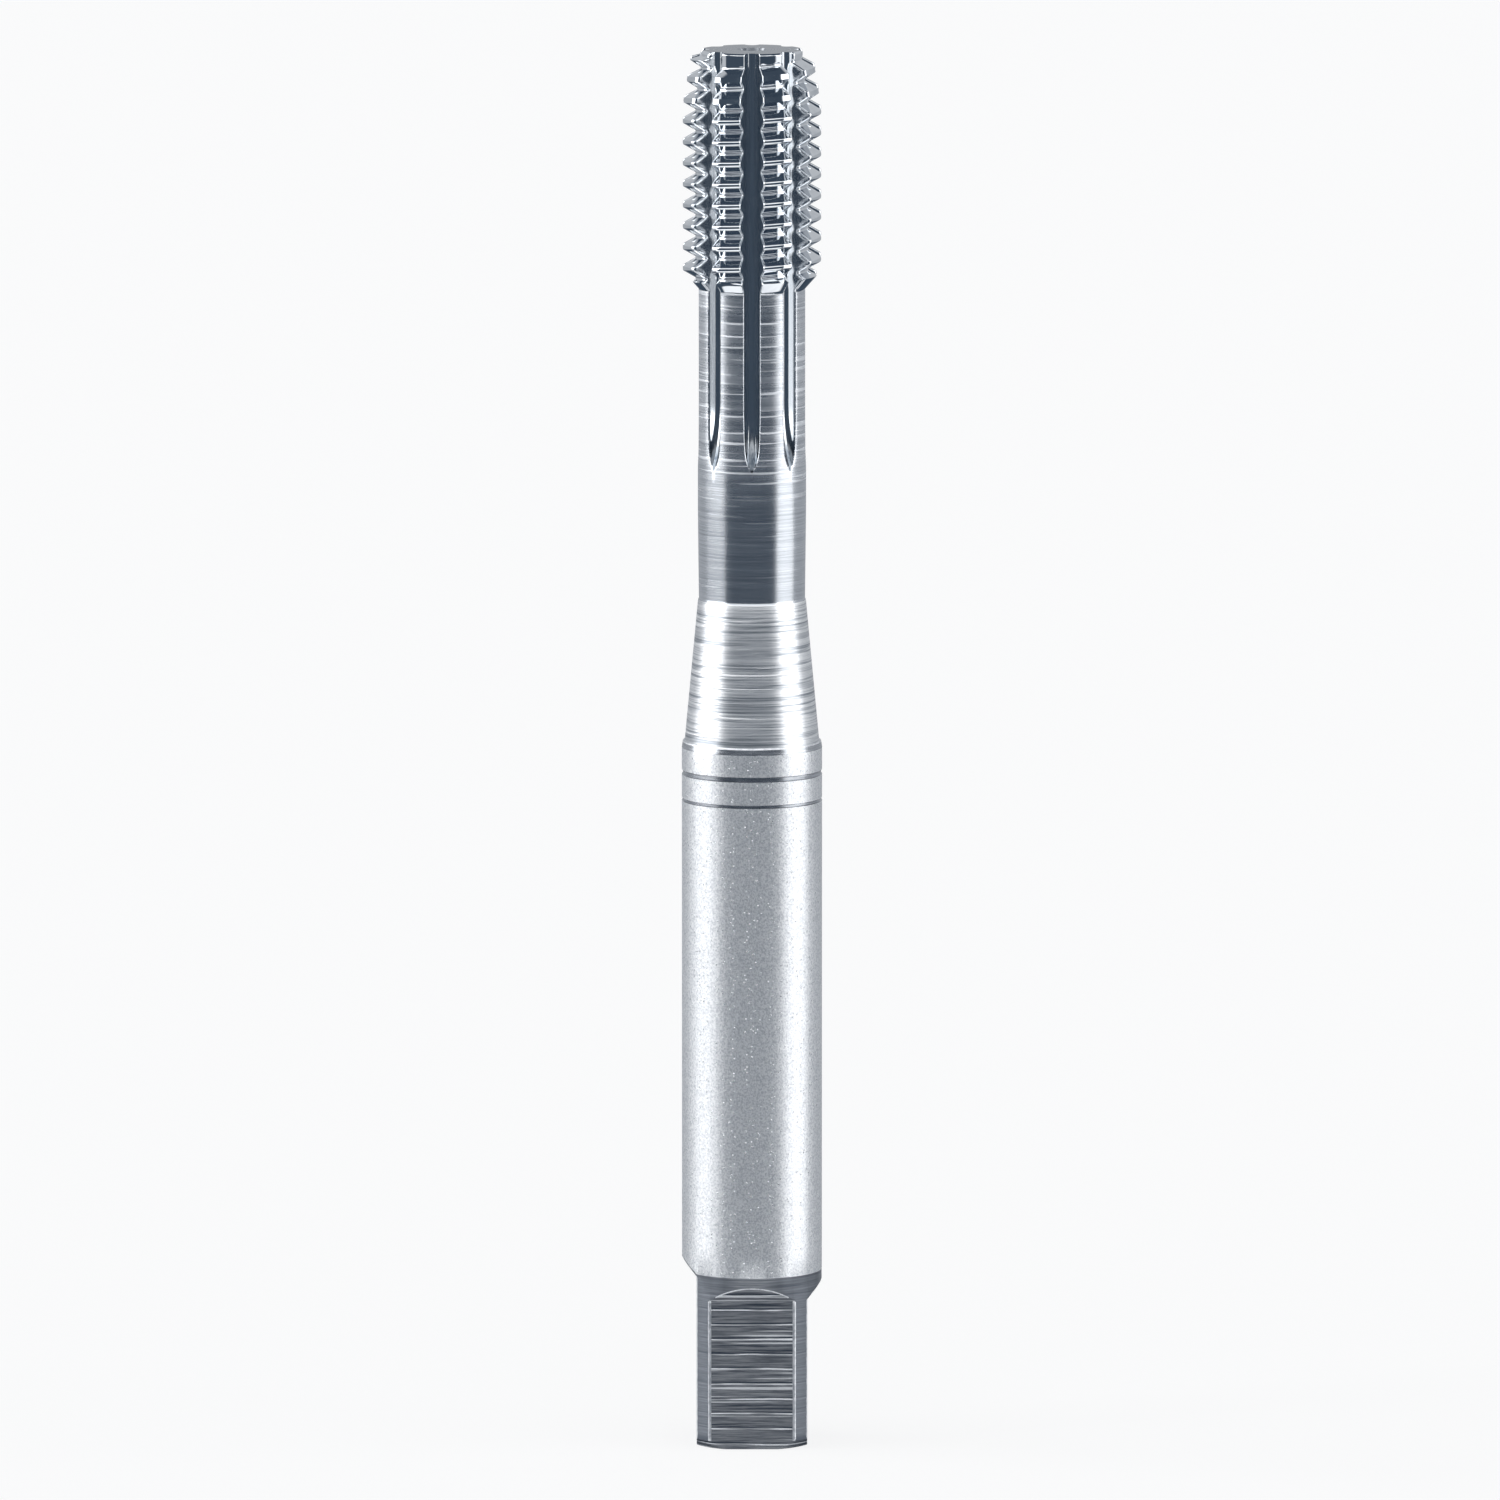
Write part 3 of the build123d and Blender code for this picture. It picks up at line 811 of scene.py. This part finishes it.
def faceSlots(turn, radius, z):
    # The finish of each face: by its height, with polished walls wherever a groove is cut, and a painted
    # highlight on the edges round the flats
    mid = (z[:-1, :-1] + z[:-1, 1:] + z[1:, :-1] + z[1:, 1:]) / 4
    shankEnd = body["shankLength"]
    slot = np.full(mid.shape, slotOf["threadSteel"])
    slot[mid < thread["start"]] = slotOf["neckSteel"]
    slot[mid < shankEnd + body["coneLength"] + body["coneRound"] / 2] = slotOf["coneSteel"]
    slot[mid < shankEnd] = slotOf["turnedSteel"]
    # the bevel's broken top edge: a painted highlight line
    slot[(mid < shankEnd) & (mid > shankEnd - body["edgeBreak"])] = slotOf["edgeSteel"]
    slot[mid < shankEnd - body["edgeHeight"]] = slotOf["satinSteel"]
    for height, width in body["rings"]:
        slot[np.abs(mid - height) < width / 2] = slotOf["turnedSteel"]
    top = rampTop(turn)
    satin = np.maximum(square["satinStart"], top + 4 * square["edgeLine"])
    meanSatin = (satin[:-1, :-1] + satin[1:, 1:]) / 2
    # a painted highlight line along the satin's lower edge
    slot[mid < meanSatin] = slotOf["edgeSteel"]
    slot[mid < meanSatin - square["satinRise"]] = slotOf["dullSteel"]
    # columns over a groove, between the roundings of its edges
    oneSide = len(grid["floorAngles"]) + 5  # columns on one side of a groove's middle
    perSector = 2 * oneSide + 1 + grid["landColumns"]
    column = np.arange(mid.shape[1]) % perSector
    farEdge = 2 * oneSide - 3
    inGroove = (column >= 2) & (column <= farEdge)
    depth = landRadius(turn, z) - radius
    deep = (depth[:-1, :-1] + depth[1:, 1:]) / 2 > groove["floorDepth"]
    slot[inGroove[None, :] & deep & (mid > groove["floorsAbove"])] = slotOf["grooveSteel"]
    # the flats, with painted highlights along their edges, and the chamfer
    meanTop = (top[:-1, :-1] + top[1:, 1:]) / 2
    meanTurn = (turn[:-1, :-1] + turn[1:, 1:]) / 2
    meanRadius = (radius[:-1, :-1] + radius[1:, 1:]) / 2
    below = mid < meanTop
    slot[below & (meanRadius < body["shankRadius"] - square["faceDepth"])] = slotOf["squareSteel"]
    rounding = (column < 3) | ((column >= farEdge) & (column < farEdge + 3))
    corner = np.abs(flatTurn(meanTurn)) > square["cornerFaces"]
    slot[rounding[None, :] & corner & below] = slotOf["edgeSteel"]
    # the line where a flat runs out: a painted highlight
    onArc = (np.abs(mid - meanTop) < square["edgeLine"] / 2) & ~corner
    slot[onArc] = slotOf["edgeSteel"]
    onFlat = square["flatDistance"] / np.cos(flatTurn(meanTurn))
    chamfered = meanRadius > onFlat - square["chamferSlack"]
    slot[(mid < body["endChamfer"]) & corner & chamfered] = slotOf["endSteel"]
    return slot


# The tap

(straightTurn, straightRadius, straightZ), (helixTurn, helixRadius, helixZ) = buildTap()
grids = []
turn, radius, z = endRings(straightTurn[0], straightRadius[0], "squareEnd", 0.0, -1)
endSlots = np.full((len(turn) - 1, turn.shape[1] - 1), slotOf["endSteel"])
grids.append((turn[::-1], radius[::-1], z[::-1], endSlots))
grids.append((straightTurn, straightRadius, straightZ, faceSlots(straightTurn, straightRadius, straightZ)))
grids.append((helixTurn, helixRadius, helixZ, faceSlots(helixTurn, helixRadius, helixZ)))
turn, radius, z = endRings(helixTurn[-1], helixRadius[-1], "threadEnd", body["length"], 1)
grids.append((turn, radius, z, endSlots))
tap = meshFromGrids("formingTap", grids, materials)
tap.data.set_sharp_from_angle(angle=math.radians(42))
weighted = tap.modifiers.new("weightedNormals", "WEIGHTED_NORMAL")
weighted.keep_sharp = True
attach(tap, "root")
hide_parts("forming_tap")
print("tap made:", len(tap.data.polygons), "faces")


# Camera

camera = {
    "distance": 1.4,
    "elevation": math.radians(7.7),
    "aim": (-0.00014, 0, 0.04985),
    "frame": 0.1069,    # width of the picture at the tap
    "sensor": 36,
}
data = bpy.data.cameras.new("camera")
data.sensor_width = camera["sensor"]
data.lens = camera["sensor"] * camera["distance"] / camera["frame"]
data.clip_start = 0.1
data.clip_end = 100
shot = bpy.data.objects.new("camera", data)
aim = camera["aim"]
shot.location = (
    aim[0],
    aim[1] - camera["distance"] * math.cos(camera["elevation"]),
    aim[2] + camera["distance"] * math.sin(camera["elevation"]),
)
shot.rotation_euler = (math.pi / 2 - camera["elevation"], 0, 0)
bpy.context.scene.collection.objects.link(shot)
bpy.context.scene.camera = shot
bpy.context.scene.view_settings.view_transform = "Standard"


# Studio: what the steel sees all round, by azimuth from the camera's side and by elevation, in degrees.
# A dark card stands in front, between two tall light boxes, with white above and below it, and a white
# backdrop stands behind.

studio = {
    "card": (0.05, 0.07, 0.098),
    "cardAzimuth": (-68.0, 54.0),
    "aboveCard": (15.0, 50.0, 1.2),     # from, to, and how bright
    "belowCard": (-38.0, -20.0, 1.2),
    "rightAzimuth": (56.0, 100.0),
    "rightBox": (-2.0, 35.0, 2.5),
    "rightFoot": (-25.0, -2.0, 1.15),
    "leftAzimuth": (-112.0, -61.0),
    "leftBox": (-2.0, 35.0, 3.4),
    "leftFoot": (-28.0, -2.0, 0.47),
    "backdrop": (5.0, 50.0, 0.45),
    "backFloor": (-16.0, 5.0, 0.36),
    "under": (-91.0, -60.0, 1.0),
    "softness": 4.0,
}


def makeStudio():
    world = bpy.data.worlds.new("studio")
    bpy.context.scene.world = world
    shader = Shader(world)
    s = studio
    soft = s["softness"] / 2
    direction = shader.add("ShaderNodeTexCoord", {}, {}, output=0)
    split = shader.tree.nodes.new("ShaderNodeSeparateXYZ")
    shader.give(split.inputs[0], direction)
    x, y, z = (Value(shader, output) for output in split.outputs)
    degree = 180 / math.pi
    azimuth = x.math("ARCTAN2", y * -1) * degree
    elevation = z.math("ARCSINE") * degree

    def band(angle, low, high, level=1.0):
        rise = shader.smooth(angle, low - soft, low + soft)
        return rise * (1 - shader.smooth(angle, high - soft, high + soft)) * level

    front = band(azimuth, *s["cardAzimuth"])
    right = band(azimuth, *s["rightAzimuth"])
    left = band(azimuth, *s["leftAzimuth"])
    behind = 1 - (front + right + left).math("MINIMUM", 1.0)
    light = front * (band(elevation, *s["aboveCard"]) + band(elevation, *s["belowCard"]))
    light = light + right * (band(elevation, *s["rightBox"]) + band(elevation, *s["rightFoot"]))
    light = light + left * (band(elevation, *s["leftBox"]) + band(elevation, *s["leftFoot"]))
    light = light + behind * (band(elevation, *s["backdrop"]) + band(elevation, *s["backFloor"]))
    light = light + band(elevation, *s["under"])
    seen = shader.add("ShaderNodeCombineColor", {}, {i: light + tone for i, tone in enumerate(s["card"])})
    path = shader.add("ShaderNodeLightPath", {}, {}, output=0)
    colour = shader.mixColour(path, seen, (1.0, 1.0, 1.0, 1))
    background = world.node_tree.nodes["Background"]
    shader.give(background.inputs[0], colour)


makeStudio()


# Floor: white to the camera, with the tap's own soft shadow on it

floorLook = {"size": 4.0, "drop": 0.00005, "glow": 0.72, "strength": 1.13, "colour": (0.8, 0.8, 0.8, 1)}


def makeFloor():
    f = floorLook
    half, level = f["size"], -f["drop"]
    corners = [(-half, -half, level), (half, -half, level), (half, half, level), (-half, half, level)]
    mesh = bpy.data.meshes.new("floor")
    mesh.from_pydata(corners, [], [(0, 1, 2, 3)])
    material = bpy.data.materials.new("paleFloor")
    shader = Shader(material)
    tree = material.node_tree
    tree.nodes.remove(tree.nodes["Principled BSDF"])
    path = tree.nodes.new("ShaderNodeLightPath")
    isCamera, isGlossy = Value(shader, path.outputs[0]), Value(shader, path.outputs[3])
    isThrough = Value(shader, path.outputs[6])
    seen = isCamera.math("MAXIMUM", isGlossy).math("MAXIMUM", isThrough) * f["glow"]
    matte = shader.add("ShaderNodeBsdfDiffuse", {}, {"Color": f["colour"]})
    glow = shader.add("ShaderNodeEmission", {}, {"Color": (1.0, 1.0, 1.0, 1), "Strength": f["strength"]})
    both = shader.add("ShaderNodeMixShader", {}, {0: seen, 1: matte, 2: glow})
    shader.give(tree.nodes["Material Output"].inputs[0], both)
    mesh.materials.append(material)
    floor = bpy.data.objects.new("floor", mesh)
    bpy.context.scene.collection.objects.link(floor)
    floor.visible_glossy = False


makeFloor()
print("studio ready")
